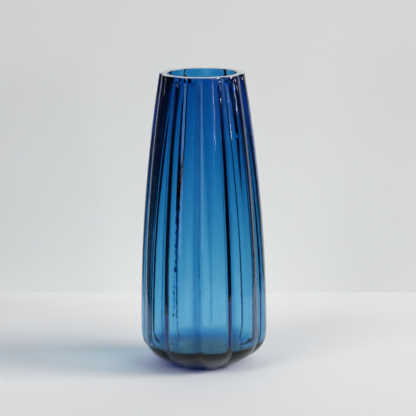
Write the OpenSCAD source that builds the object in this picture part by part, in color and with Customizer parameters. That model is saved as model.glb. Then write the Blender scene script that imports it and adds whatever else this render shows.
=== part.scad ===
// Glass bud vase, blown in a ten-lobed mould: one piece of glass in three zones.
// The zones meet face to face on two flat planes and together make the whole wall.
// The origin is the middle of the ground foot, +Z is up, and a viewer stands at -Y.

/* [Body] */
// overall height, from the ground foot to the ground rim
height = 200; // [160:5:260]
// crest radius at the widest level, low on the body
belly_r = 42.8; // [40:0.2:48]
// level of the widest place
belly_z = 26; // [24:1:36]
// crest radius at the rim
rim_r = 28.6; // [28:0.2:32]
// crest radius where the underside meets the foot
root_r = 21.6; // [21.2:0.2:26]

/* [Flutes] */
// lobes around the body, with one sharp crease between each two
lobes = 10; // [8:1:14]
// crease radius as a share of the crest radius
crease_share = 0.92; // [0.9:0.01:0.96]
// the same share on the inside, where ribs of glass stand behind the creases
inner_share = 0.82; // [0.8:0.01:0.92]
// depth of the creases at the foot, as a share of their depth at the belly
foot_depth = 1.2; // [0.5:0.05:1.2]
// turn of the crease nearest the viewer, in degrees about +Z
crease_turn = -6; // [-18:1:18]

/* [Hollow] */
// radius of the straight mouth
mouth_r = 23.2; // [21:0.2:24]
// height of the straight mouth
mouth_h = 3; // [3:0.5:8]
// height over which the ribs rise out of the round neck
neck_h = 4; // [4:1:20]
// thickness of solid glass under the hollow
floor_t = 12; // [10:1:20]
// glass under a crest at the belly
belly_wall = 1.4; // [1.4:0.2:3]
// glass under a crest where the neck starts
neck_wall = 5.4; // [4.6:0.2:5.4]
// how late the glass thickens on the way up: 1 is an even growth
wall_growth = 1.6; // [1:0.1:2]
// how far the hollow's bottom corner reaches in
corner_r = 5; // [4:0.5:8]
// height of that corner
corner_h = 6; // [5:1:12]

/* [Ground faces] */
// radius of the ground foot
foot_r = 18.6; // [17.6:0.2:18.8]
// height of the foot below the lobed body
foot_h = 0.8; // [0.5:0.1:1.5]
// radius of the polished hollow in the middle of the foot
dish_r = 14; // [8:0.5:15]
// depth of that hollow at its middle
dish_depth = 0.8; // [0.4:0.1:1.2]
// width of the bevel on both edges of the rim
bevel = 0.4; // [0.2:0.1:0.6]

/* [Hidden] */
$fn = 120;
overlap = 0.5;

// half the angle of one lobe, and the points that draw one lobe
half_lobe = 180 / lobes;
lobe_steps = 8;
ring_points = lobes * lobe_steps;

rim_z = height - mouth_h;
neck_z = rim_z - neck_h;
// the ball that grinds the hollow under the foot
dish_ball_r = (dish_r * dish_r + dish_depth * dish_depth) / (2 * dish_depth);

// bands of the drawn skin: the underside, up to the belly, up to the neck, and the neck
under_bands = 8;
turn_bands = 7;
body_bands = 10;
neck_bands = 3;

// how full the underside is: it leaves the belly slowly and then turns in to the foot
turn_in = 3;
fullness = 1.15;

// the creases outside and the ribs inside are rounded over these angles
crease_soft = 1.5;
rib_soft = 2.2;
// a bend above 1 keeps a lobe flat around its crest and steep beside its crease
outer_bend = 1.2;
inner_bend = 1.5;

glass_base = [0.07, 0.12, 0.34];
glass_wall = [0.12, 0.22, 0.55];
glass_rim = [0.55, 0.62, 0.74];

// crest radius: a parabola from the belly up to the rim, a fuller curve below it
function crest_r(z) = z >= belly_z
    ? belly_r - (belly_r - rim_r) * pow((z - belly_z) / (height - belly_z), 2)
    : root_r + (belly_r - root_r) * pow(1 - pow((belly_z - z) / (belly_z - foot_h), turn_in), fullness);

// the creases keep one share from the belly up and change evenly down to the foot
function share_at(z) = z >= belly_z
    ? crease_share
    : 1 - (1 - crease_share) * (foot_depth + (1 - foot_depth) * (z - foot_h) / (belly_z - foot_h));

// one lobe is an arc whose centre lies between the axis and the crest
function arc_centre(share) = (1 - share * share) / (2 - 2 * share * cos(half_lobe));
function lobe_r(from_crest, share) = let (c = arc_centre(share))
    c * cos(from_crest) + sqrt(pow(1 - c, 2) - pow(c * sin(from_crest), 2));

// the same lobe with its creases rounded and its flanks bent; a share of 1 is a circle
function bent_lobe_r(from_crest, share, soft, bend) = let (
        to_crease = half_lobe - abs(from_crest),
        rounded = half_lobe - sqrt(to_crease * to_crease + soft * soft)
    ) share > 0.999 ? 1 : 1 - (1 - share) * pow((1 - lobe_r(rounded, share)) / (1 - share), bend);

// a lobed ring of points at one level, its first point on the crease nearest the viewer
function ring(crest, share, z, soft, bend, inset = 0) = [
    for (i = [0 : ring_points - 1]) let (
        from_crest = (i % lobe_steps) * 2 * half_lobe / lobe_steps - half_lobe,
        r = crest * bent_lobe_r(from_crest, share, soft, bend) - inset,
        a = crease_turn - 90 + i * 360 / ring_points
    ) [r * cos(a), r * sin(a), z]
];
function outer_ring(z, inset = 0) = ring(crest_r(z), share_at(z), z, crease_soft, outer_bend, inset);

// the glass thickens from the belly up to the neck
function rise(z) = max(0, z - belly_z) / (rim_z - belly_z);
function wall_at(z) = belly_wall + (neck_wall - belly_wall) * pow(rise(z), wall_growth);
function corner_at(z) = corner_r * pow(max(0, 1 - (z - floor_t) / corner_h), 2);

// 0 in the straight mouth and 1 below the neck, with a soft start and end
function below_neck(z) = let (t = max(0, min(1, (rim_z - z) / neck_h))) t * t * (3 - 2 * t);
function inner_share_at(z) = 1 - (1 - inner_share) * below_neck(z);
function hollow_r(z) = mouth_r + (crest_r(z) - wall_at(z) - corner_at(z) - mouth_r) * below_neck(z);
function inner_ring(z) = ring(hollow_r(z), inner_share_at(z), z, rib_soft, inner_bend);

function levels(z0, z1, bands) = [for (k = [0 : bands]) z0 + (z1 - z0) * k / bands];

// triangles between each ring of points and the next one
function sides(from, to, count) = [
    for (k = [from : to], i = [0 : ring_points - 1]) let (
        next = (i + 1) % ring_points,
        a = k * ring_points,
        b = ((k + 1) % count) * ring_points
    ) each [[a + i, b + i, a + next], [a + next, b + i, b + next]]
];

// a closed solid through rings of points, lowest first
module skin(rings) {
    count = len(rings);
    bottom = [for (i = [0 : ring_points - 1]) i];
    top = [for (i = [ring_points - 1 : -1 : 0]) (count - 1) * ring_points + i];
    polyhedron([for (r = rings) each r], concat([bottom], sides(0, count - 2, count), [top]));
}

// a closed solid through a loop of rings: up the outside, down the inside
module looped_skin(rings) {
    count = len(rings);
    polyhedron([for (r = rings) each r], sides(0, count - 1, count));
}

// solid punt of glass with a ground foot and a shallow polished hollow under it
module heavy_base() {
    color(glass_base) difference() {
        union() {
            skin([for (z = levels(foot_h, floor_t, under_bands)) outer_ring(z)]);
            cylinder(r = foot_r, h = foot_h + overlap);
        }
        translate([0, 0, dish_depth - dish_ball_r]) sphere(r = dish_ball_r);
    }
}

// the lobed wall around the hollow, with a rib inside behind every crease
module fluted_wall() {
    body = concat(
        levels(floor_t, belly_z, turn_bands),
        [for (z = levels(belly_z, neck_z, body_bands)) if (z > belly_z) z],
        [for (z = levels(neck_z, rim_z, neck_bands)) if (z > neck_z) z]
    );
    color(glass_wall) looped_skin(concat(
        [for (z = body) outer_ring(z)],
        [for (k = [len(body) - 1 : -1 : 0]) inner_ring(body[k])]
    ));
}

// the mouth: a straight bore and a flat ground lip with bevelled edges
module ground_rim() {
    color(glass_rim) difference() {
        skin([
            outer_ring(rim_z),
            outer_ring(rim_z + mouth_h / 2),
            outer_ring(height - bevel),
            outer_ring(height, bevel)
        ]);
        translate([0, 0, rim_z - overlap]) cylinder(r = mouth_r, h = mouth_h + 2 * overlap);
        translate([0, 0, height - bevel])
            cylinder(r1 = mouth_r, r2 = mouth_r + 2 * bevel, h = 2 * bevel);
    }
}

heavy_base();
fluted_wall();
ground_rim();
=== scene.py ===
"""Glass bud vase: one piece of deep blue mould-blown glass on a pale table.

The glass is one closed mesh that stands for the three CAD zones. Its shape repeats the formulas of the CAD
source in metres, at a finer step. Only this mesh has the slightly uneven inside of blown glass, the turn of
the inside against the outside, the lobed outline of the foot and the rounded bevels. -Y faces the viewer.
"""
import math

import bpy
from mathutils import Euler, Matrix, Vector, noise


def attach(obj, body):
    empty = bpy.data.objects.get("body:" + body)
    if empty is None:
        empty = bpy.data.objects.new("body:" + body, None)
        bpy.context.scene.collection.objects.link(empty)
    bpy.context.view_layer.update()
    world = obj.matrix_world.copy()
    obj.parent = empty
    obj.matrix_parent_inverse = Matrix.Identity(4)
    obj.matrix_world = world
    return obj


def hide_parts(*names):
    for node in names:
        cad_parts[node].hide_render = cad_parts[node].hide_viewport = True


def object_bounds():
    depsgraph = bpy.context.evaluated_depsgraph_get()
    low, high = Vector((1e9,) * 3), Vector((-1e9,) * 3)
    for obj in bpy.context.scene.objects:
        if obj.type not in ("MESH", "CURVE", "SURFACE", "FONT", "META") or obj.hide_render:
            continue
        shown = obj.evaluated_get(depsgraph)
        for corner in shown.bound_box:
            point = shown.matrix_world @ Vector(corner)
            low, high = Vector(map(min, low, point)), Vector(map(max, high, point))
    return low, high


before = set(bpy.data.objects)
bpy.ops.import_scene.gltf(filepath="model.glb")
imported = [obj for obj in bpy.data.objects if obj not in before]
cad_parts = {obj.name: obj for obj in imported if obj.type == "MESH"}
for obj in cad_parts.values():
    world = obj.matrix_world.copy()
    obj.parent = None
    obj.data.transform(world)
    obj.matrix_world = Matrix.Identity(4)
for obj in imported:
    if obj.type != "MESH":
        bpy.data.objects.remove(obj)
cad_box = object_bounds()

MM = 0.001
HEIGHT = cad_box[1].z - cad_box[0].z

# outside, as in the CAD source
BELLY_R = 42.8 * MM
BELLY_Z = 26 * MM
RIM_R = 28.6 * MM
ROOT_R = 21.6 * MM
FOOT_H = 0.8 * MM
TURN_IN = 3
FULLNESS = 1.15
LOBES = 10
HALF_LOBE = math.pi / LOBES
CREASE_SHARE = 0.92
CREASE_TURN = math.radians(-6)
FOOT_DEPTH = 1.2
CREASE_SOFT = math.radians(1.5)
OUTER_BEND = 1.2

# hollow, as in the CAD source
INNER_SHARE = 0.82
MOUTH_R = 23.2 * MM
MOUTH_H = 3 * MM
RIM_Z = HEIGHT - MOUTH_H
NECK_H = 4 * MM
FLOOR_T = 12 * MM
BELLY_WALL = 1.4 * MM
NECK_WALL = 5.4 * MM
WALL_GROWTH = 1.6
CORNER_R = 5 * MM
CORNER_H = 6 * MM
RIB_SOFT = math.radians(2.2)
INNER_BEND = 1.5

# ground faces, as in the CAD source
DISH_R = 14 * MM
DISH_DEPTH = 0.8 * MM
BEVEL = 0.4 * MM

# how far the inside of the glass is turned against the outside
INNER_TURN = math.radians(-0.5)
# the edge of the foot: how far each ring stands in from the root of the lobes, and its level
FOOT_EDGE = ((1.2 * MM, 0.0), (0.9 * MM, 0.15 * MM), (0.6 * MM, 0.8 * FOOT_H))
# how far the middle of a bevel lies below the sharp edge that it replaces, and in from it into the glass
MID_BEVEL = 0.3 * BEVEL
# the glass is ground above the first level and below the second, and polished between them
GROUND_ABOVE = HEIGHT - 0.6 * BEVEL
GROUND_BELOW = 0.2 * MM

# waves of the inside: their height, and how quickly they change around the vase and up it
BROAD_WAVES = (0.15 * MM, 4.5, 22)
STREAK_WAVES = (0.2 * MM, 18, 8)
FINE_WAVES = (0.02 * MM, 13.5, 420)
# what the ribs on the far side add to the fine waves, and how far from a rib's middle that lasts
RIB_WAVES = 0.9 * MM
RIB_WIDTH = math.radians(5)
# the ribs' waves weaken up to this level, and this share of them is left above it
WEAK_Z = 0.8 * HEIGHT
WEAK_SHARE = 0.4
# height under the lip over which the waves fade out
FADE_H = 2 * MOUTH_H

# fineness of the mesh
LOBE_STEPS = 28
DISH_RINGS = 6
UNDER_RINGS = 26
OUTER_RINGS = 70
INNER_RINGS = 300
FLOOR_RINGS = 10
# above 1, the rings of the underside crowd towards the foot
UNDER_CROWDING = 1.3
# a lobe shallower than this share of its radius is drawn as a circle
NEARLY_ROUND = 1e-6

WHITE = (1, 1, 1)
BLACK = (0, 0, 0)

# glass: what a metre of it absorbs is the density times what the colour lacks of white
GLASS_IOR = 1.5
GLASS_COLOUR = (0.095, 0.678, 0.878)
GLASS_DENSITY = 740.0
# what one surface of the glass leaves of the light that falls into its shadow
THROUGH = (0.78, 0.72, 0.64)
COAT = 0.5
COAT_ROUGHNESS = 0.03
GROUND_COLOUR = (0.74, 0.77, 0.80)
GROUND_ROUGHNESS = 0.45
GROUND_CLEARNESS = 0.35
# the place of the ground glass in the vase's list of materials
GROUND_SLOT = 1

# table and wall
WALL_Y = 0.207
WALL_LEFT, WALL_RIGHT = -0.172, 0.27
WALL_BOTTOM, WALL_TOP = -0.03, 0.8
WALL_TURN = math.radians(-1.8)
TABLE_LEFT, TABLE_RIGHT = -0.21, 0.29
TABLE_FRONT = -0.47
TABLE_BACK = WALL_Y + 0.06
PAINT_ROUGHNESS = 0.9
TABLE_COLOUR = (0.785, 0.785, 0.785)
WALL_COLOUR = (0.92, 0.925, 0.91)
# painted shade where table and wall meet: where it starts and ends on each surface, and its tones: place from
# 0 to 1, share of the colour
TABLE_SHADE_SPAN = (-0.1, WALL_Y)
TABLE_SHADE_TONES = ((0.0, 1.0), (0.5, 0.96), (0.8, 0.94), (1.0, 0.88))
WALL_SHADE_SPAN = (0, 0.2)
WALL_SHADE_TONES = ((0.0, 0.91), (0.25, 0.94), (0.5, 0.97), (1.0, 1.0))

# light
ROOM_GREY = (0.035, 0.035, 0.036)
SUNNY = (1, 0.99, 0.975)
CLOUDY = (0.98, 0.99, 1)
VASE_MIDDLE = (0, 0, HEIGHT / 2)
BEHIND_VASE = (0, 0.1, HEIGHT / 2)
# name, azimuth and elevation in degrees, distance, aim, width, depth, watts, colour
LIGHTS = (
    ("window_right", 78, 27, 9.0, VASE_MIDDLE, 3.6, 3.1, 650, SUNNY),
    ("fill_right", 44, 43, 4.0, BEHIND_VASE, 1.8, 2.2, 41, CLOUDY),
    ("fill_left", -40, 43, 4.0, BEHIND_VASE, 1.8, 2.2, 46, CLOUDY),
)
WASH_PLACE = (0.05, 0.02, 0.75)
WASH_AIM = (0.05, WALL_Y, 0.30)
WASH_WIDTH, WASH_DEPTH = 0.8, 0.10
WASH_WATTS = 0.5
PANE_DISTANCE = 2.5
# name, azimuth in degrees, width, lowest and highest level, watts
PANES = (
    ("pane_left", -102, 0.06, 0.30, 0.68, 0.7),
    ("pane_soft", -39, 0.42, -0.20, 0.60, 3.2),
    ("pane_front", 32, 0.10, 0.30, 0.68, 2.7),
    ("pane_right", 88, 0.10, 0.30, 0.68, 2.7),
    ("pane_corner", 104, 0.08, 0.30, 0.68, 1.9),
    ("pane_back", 136, 0.16, 0.30, 0.68, 1.0),
)

# camera: how far it looks down in degrees, and its roll in radians
CAMERA_PLACE = (0.0034, -1.4256, 0.387)
CAMERA_DOWN = 11.08
CAMERA_PITCH = math.radians(90 - CAMERA_DOWN)
CAMERA_ROLL = -0.0077
SENSOR_MM = 36.0
LENS_MM = 186.0
CLIP_END = 20.0


# ---- shape of the glass
def crest_r(z):
    """Outer radius on the crest of a lobe: a parabola above the belly and a fuller curve below it."""
    if z >= BELLY_Z:
        return BELLY_R - (BELLY_R - RIM_R) * ((z - BELLY_Z) / (HEIGHT - BELLY_Z)) ** 2
    down = min(1.0, (BELLY_Z - z) / (BELLY_Z - FOOT_H))
    return ROOT_R + (BELLY_R - ROOT_R) * max(0.0, 1 - down**TURN_IN) ** FULLNESS


def share_at(z):
    """Crease radius as a share of the crest radius: even from the belly up, a fifth deeper at the foot."""
    if z >= BELLY_Z:
        return CREASE_SHARE
    up = max(0.0, z - FOOT_H) / (BELLY_Z - FOOT_H)
    return 1 - (1 - CREASE_SHARE) * (FOOT_DEPTH + (1 - FOOT_DEPTH) * up)


def lobe_r(from_crest, share):
    """Radius of one lobe for a crest radius of 1: an arc whose centre lies between the axis and the crest."""
    c = (1 - share * share) / (2 - 2 * share * math.cos(HALF_LOBE))
    return c * math.cos(from_crest) + math.sqrt((1 - c) ** 2 - (c * math.sin(from_crest)) ** 2)


def soft_lobe_r(near, share, soft, bend):
    """A lobe whose crease is rounded over the angle soft; a bend above 1 keeps the crest flatter."""
    depth = 1 - share
    if depth < NEARLY_ROUND:
        return 1.0
    rounded = HALF_LOBE - math.hypot(HALF_LOBE - abs(near), soft)
    return 1 - depth * ((1 - lobe_r(rounded, share)) / depth) ** bend


def neck_share(z):
    """0 in the straight mouth and 1 below the neck, with a soft start and end."""
    t = min(1.0, max(0.0, (RIM_Z - z) / NECK_H))
    return t * t * (3 - 2 * t)


def hollow_r(z):
    """Inner radius behind the crest of a lobe."""
    if z >= RIM_Z:
        return MOUTH_R
    up = max(0.0, z - BELLY_Z) / (RIM_Z - BELLY_Z)
    wall = BELLY_WALL + (NECK_WALL - BELLY_WALL) * up**WALL_GROWTH
    corner = CORNER_R * max(0.0, 1 - (z - FLOOR_T) / CORNER_H) ** 2
    body = crest_r(z) - wall - corner
    return MOUTH_R + (body - MOUTH_R) * neck_share(z)


def inner_share_at(z):
    """The inside follows the lobes softly, and turns round in the neck."""
    return 1 - (1 - INNER_SHARE) * neck_share(z)


def waves(turn, z, height, around_pace, upward_pace):
    """A fixed pattern of soft noise on the inside, of one height."""
    place = (around_pace * math.sin(turn), around_pace * math.cos(turn), upward_pace * z)
    return height * noise.noise(Vector(place))


def unevenness(turn, near, z):
    """Small waves that the inside keeps from blowing, strong along the ribs on the far side and low down."""
    rib = math.exp(-((HALF_LOBE - abs(near)) / RIB_WIDTH) ** 2)
    far = max(0.0, -math.cos(turn)) ** 0.5
    low = WEAK_SHARE + (1 - WEAK_SHARE) * max(0.0, 1 - z / WEAK_Z)
    fine_height, *fine_paces = FINE_WAVES
    fine_height += RIB_WAVES * rib * low * far
    smooth = waves(turn, z, *BROAD_WAVES) + waves(turn, z, *STREAK_WAVES)
    return smooth + waves(turn, z, fine_height, *fine_paces)


# ---- rings of points
def directions():
    """Every angle of a ring with its angle from the nearest crest; the points crowd towards the creases."""
    found = []
    for lobe in range(LOBES):
        for step in range(LOBE_STEPS):
            t = 2 * step / LOBE_STEPS - 1
            # this cubic runs from -1 to 1 as t does, and is level at both ends
            near = HALF_LOBE * (1.5 * t - 0.5 * t**3)
            turn = CREASE_TURN + (2 * lobe + 1) * HALF_LOBE + near
            found.append((turn, near))
    return found


RING = directions()


def at(turn, r, z):
    return (r * math.sin(turn), -r * math.cos(turn), z)


def plain_ring(r, z):
    return [at(turn, r, z) for turn, _ in RING]


def lobed_ring(crest, share, z, inset):
    """A ring of the outside, its points moved in towards the axis by the inset."""
    points = []
    for turn, near in RING:
        r = crest * soft_lobe_r(near, share, CREASE_SOFT, OUTER_BEND) - inset
        points.append(at(turn, r, z))
    return points


def outer_ring(z, inset=0.0):
    return lobed_ring(crest_r(z), share_at(z), z, inset)


def foot_ring(inset, z):
    """The ground foot cuts the lobed underside, so its outline is lobed too."""
    return lobed_ring(ROOT_R, share_at(FOOT_H), z, inset)


def inner_ring(z, r, wave_share):
    """A ring of the inside, with that share of the waves."""
    share = inner_share_at(z)
    points = []
    for turn, near in RING:
        smooth = r * soft_lobe_r(near, share, RIB_SOFT, INNER_BEND)
        points.append(at(turn + INNER_TURN, smooth + wave_share * unevenness(turn, near, z), z))
    return points


def foot_rings():
    """The polished hollow under the foot, from its middle out, and the edge of the foot."""
    shares = [k / DISH_RINGS for k in range(1, DISH_RINGS + 1)]
    dish = [plain_ring(DISH_R * share, DISH_DEPTH * (1 - share**2)) for share in shares]
    return dish + [foot_ring(inset, z) for inset, z in FOOT_EDGE]


def outside_rings():
    """The underside, the body up to the lip, and the outer bevel."""
    steps = [(k / UNDER_RINGS) ** UNDER_CROWDING for k in range(UNDER_RINGS)]
    under = [outer_ring(FOOT_H + (BELLY_Z - FOOT_H) * step) for step in steps]
    body_h = HEIGHT - BEVEL - BELLY_Z
    body = [outer_ring(BELLY_Z + body_h * k / OUTER_RINGS) for k in range(OUTER_RINGS + 1)]
    return under + body + [outer_ring(HEIGHT - MID_BEVEL, MID_BEVEL), outer_ring(HEIGHT, BEVEL)]


def inside_rings():
    """The inner bevel, the hollow down to its floor, and the floor in to the axis."""
    rings = [inner_ring(HEIGHT, MOUTH_R + BEVEL, 0), inner_ring(HEIGHT - MID_BEVEL, MOUTH_R + MID_BEVEL, 0)]
    for k in range(INNER_RINGS + 1):
        z = HEIGHT - BEVEL - (HEIGHT - BEVEL - FLOOR_T) * k / INNER_RINGS
        rings.append(inner_ring(z, hollow_r(z), min(1.0, (HEIGHT - z) / FADE_H)))
    floor_r = hollow_r(FLOOR_T)
    for k in range(FLOOR_RINGS - 1, 0, -1):
        rings.append(inner_ring(FLOOR_T, floor_r * k / FLOOR_RINGS, k / FLOOR_RINGS))
    return rings


# ---- objects
def new_object(name, data):
    obj = bpy.data.objects.new(name, data)
    bpy.context.scene.collection.objects.link(obj)
    return obj


def closed_skin(name, rings, bottom_z, top_z):
    """A closed mesh through rings of equally many points, with a single point at each end on the axis."""
    n = len(RING)
    points = [(0, 0, bottom_z)] + [p for ring in rings for p in ring] + [(0, 0, top_z)]
    faces = [(0, 1 + (i + 1) % n, 1 + i) for i in range(n)]
    for k in range(len(rings) - 1):
        a, b = 1 + k * n, 1 + (k + 1) * n
        faces += [(a + i, a + (i + 1) % n, b + (i + 1) % n, b + i) for i in range(n)]
    a, end = 1 + (len(rings) - 1) * n, len(points) - 1
    faces += [(a + i, a + (i + 1) % n, end) for i in range(n)]
    mesh = bpy.data.meshes.new(name)
    mesh.from_pydata(points, [], faces)
    mesh.shade_smooth()
    return new_object(name, mesh)


def sheet(name, corners, material):
    """One flat rectangle; its corners run anticlockwise as seen from its front."""
    mesh = bpy.data.meshes.new(name)
    mesh.from_pydata(corners, [], [(0, 1, 2, 3)])
    mesh.materials.append(material)
    obj = new_object(name, mesh)
    return obj


def around(azimuth, elevation, distance):
    """A place seen from the vase: azimuth from the viewer's side, positive to the right."""
    a, e = math.radians(azimuth), math.radians(elevation)
    level = distance * math.cos(e)
    return (level * math.sin(a), -level * math.cos(a), distance * math.sin(e))


def panel_light(name, place, aim, width, depth, watts, colour):
    data = bpy.data.lights.new(name, "AREA")
    data.shape = "RECTANGLE"
    data.size = width
    data.size_y = depth
    data.energy = watts
    data.color = colour
    obj = new_object(name, data)
    obj.location = place
    obj.rotation_euler = (Vector(aim) - Vector(place)).to_track_quat("-Z", "Y").to_euler()


# ---- materials
def new_material(name):
    mat = bpy.data.materials.new(name)
    mat.use_nodes = True
    return mat


def parts_of(mat):
    """The tree of a material, its surface shader and its output."""
    tree = mat.node_tree
    return tree, tree.nodes["Principled BSDF"], tree.nodes["Material Output"]


def mixed_surface(mat, factor, other):
    """Show the other shader in place of the surface where the factor is 1."""
    tree, bsdf, out = parts_of(mat)
    mix = tree.nodes.new("ShaderNodeMixShader")
    tree.links.new(factor, mix.inputs["Fac"])
    tree.links.new(bsdf.outputs["BSDF"], mix.inputs[1])
    tree.links.new(other.outputs["BSDF"], mix.inputs[2])
    tree.links.new(mix.outputs["Shader"], out.inputs["Surface"])


def glass(name, surface, roughness, clearness):
    """Glass that takes its blue from its thickness and tints its own shadow."""
    mat = new_material(name)
    tree, bsdf, out = parts_of(mat)
    bsdf.inputs["Base Color"].default_value = (*surface, 1)
    bsdf.inputs["Roughness"].default_value = roughness
    bsdf.inputs["IOR"].default_value = GLASS_IOR
    bsdf.inputs["Transmission Weight"].default_value = clearness
    absorb = tree.nodes.new("ShaderNodeVolumeAbsorption")
    absorb.inputs["Color"].default_value = (*GLASS_COLOUR, 1)
    absorb.inputs["Density"].default_value = GLASS_DENSITY
    tree.links.new(absorb.outputs["Volume"], out.inputs["Volume"])
    path = tree.nodes.new("ShaderNodeLightPath")
    through = tree.nodes.new("ShaderNodeBsdfTransparent")
    through.inputs["Color"].default_value = (*THROUGH, 1)
    mixed_surface(mat, path.outputs["Is Shadow Ray"], through)
    return mat


def blue_glass():
    """Polished glass; its reflections come from a thin coat, and its own are off."""
    mat = glass("blue_glass", WHITE, 0.0, 1.0)
    _, bsdf, _ = parts_of(mat)
    bsdf.inputs["Specular Tint"].default_value = (*BLACK, 1)
    bsdf.inputs["Coat Weight"].default_value = COAT
    bsdf.inputs["Coat Roughness"].default_value = COAT_ROUGHNESS
    return mat


def ground_glass():
    """The same glass where it is ground: it scatters light and reads paler."""
    return glass("ground_glass", GROUND_COLOUR, GROUND_ROUGHNESS, GROUND_CLEARNESS)


def paint_with_painted_shade(name, colour, axis, span, shade_tones):
    """Matt paint with painted shade that darkens it softly along one axis of the object, and is clear when
    seen from its back.

    A camera behind the wall or under the table looks through it at the vase.
    """
    mat = new_material(name)
    tree, bsdf, _ = parts_of(mat)
    bsdf.inputs["Roughness"].default_value = PAINT_ROUGHNESS
    where = tree.nodes.new("ShaderNodeTexCoord")
    split = tree.nodes.new("ShaderNodeSeparateXYZ")
    place = tree.nodes.new("ShaderNodeMapRange")
    # the painted shade: a ramp of darker shares of the colour along the axis
    ramp = tree.nodes.new("ShaderNodeValToRGB")
    place.inputs["From Min"].default_value = span[0]
    place.inputs["From Max"].default_value = span[1]
    stops = ramp.color_ramp.elements
    # a new stop starts in the middle, and gets its place below
    while len(stops) < len(shade_tones):
        stops.new(0.5)
    for stop, (position, share) in zip(stops, shade_tones):
        stop.position = position
        stop.color = (*(share * c for c in colour), 1)
    tree.links.new(where.outputs["Object"], split.inputs["Vector"])
    tree.links.new(split.outputs[axis], place.inputs["Value"])
    tree.links.new(place.outputs["Result"], ramp.inputs["Fac"])
    tree.links.new(ramp.outputs["Color"], bsdf.inputs["Base Color"])
    geometry = tree.nodes.new("ShaderNodeNewGeometry")
    clear = tree.nodes.new("ShaderNodeBsdfTransparent")
    mixed_surface(mat, geometry.outputs["Backfacing"], clear)
    return mat


# ---- the vase
vase = closed_skin("glass_vase", foot_rings() + outside_rings() + inside_rings(), DISH_DEPTH, FLOOR_T)
vase.data.materials.append(blue_glass())
vase.data.materials.append(ground_glass())
for face in vase.data.polygons:
    if face.center.z > GROUND_ABOVE or face.center.z < GROUND_BELOW:
        face.material_index = GROUND_SLOT
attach(vase, "root")
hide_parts("heavy_base", "fluted_wall", "ground_rim")

# ---- table and wall
table_corners = [
    (TABLE_LEFT, TABLE_FRONT, 0),
    (TABLE_RIGHT, TABLE_FRONT, 0),
    (TABLE_RIGHT, TABLE_BACK, 0),
    (TABLE_LEFT, TABLE_BACK, 0),
]
wall_corners = [
    (WALL_LEFT, 0, WALL_BOTTOM),
    (WALL_RIGHT, 0, WALL_BOTTOM),
    (WALL_RIGHT, 0, WALL_TOP),
    (WALL_LEFT, 0, WALL_TOP),
]
# painted shade: the table is painted darker towards the wall, and the wall darker towards the table
sheet("table", table_corners, paint_with_painted_shade("table_white", TABLE_COLOUR, "Y", TABLE_SHADE_SPAN, TABLE_SHADE_TONES))
wall = sheet("wall", wall_corners, paint_with_painted_shade("wall_white", WALL_COLOUR, "Z", WALL_SHADE_SPAN, WALL_SHADE_TONES))
wall.location.y = WALL_Y
wall.rotation_euler.z = WALL_TURN

# ---- light
world = bpy.data.worlds.new("room")
bpy.context.scene.world = world
world.use_nodes = True
world.node_tree.nodes["Background"].inputs["Color"].default_value = (*ROOM_GREY, 1)

for name, azimuth, elevation, distance, aim, width, depth, watts, colour in LIGHTS:
    panel_light(name, around(azimuth, elevation, distance), aim, width, depth, watts, colour)
# a weak light from above that evens out the wall
panel_light("wall_wash", WASH_PLACE, WASH_AIM, WASH_WIDTH, WASH_DEPTH, WASH_WATTS, WHITE)
# tall narrow panes whose reflections draw the upright lines under the rim
for name, azimuth, width, lowest, highest, watts in PANES:
    x, y, _ = around(azimuth, 0, PANE_DISTANCE)
    middle = (lowest + highest) / 2
    panel_light(name, (x, y, middle), (0, 0, middle), width, highest - lowest, watts, WHITE)

# ---- camera
camera_data = bpy.data.cameras.new("camera")
camera_data.sensor_width = SENSOR_MM
camera_data.lens = LENS_MM
camera_data.clip_end = CLIP_END
camera = new_object("camera", camera_data)
camera.rotation_mode = "XYZ"
camera.location = CAMERA_PLACE
pitch = Euler((CAMERA_PITCH, 0, 0)).to_quaternion()
roll = Euler((0, 0, CAMERA_ROLL)).to_quaternion()
camera.rotation_euler = (pitch @ roll).to_euler()
bpy.context.scene.camera = camera
bpy.context.scene.view_settings.view_transform = "Standard"
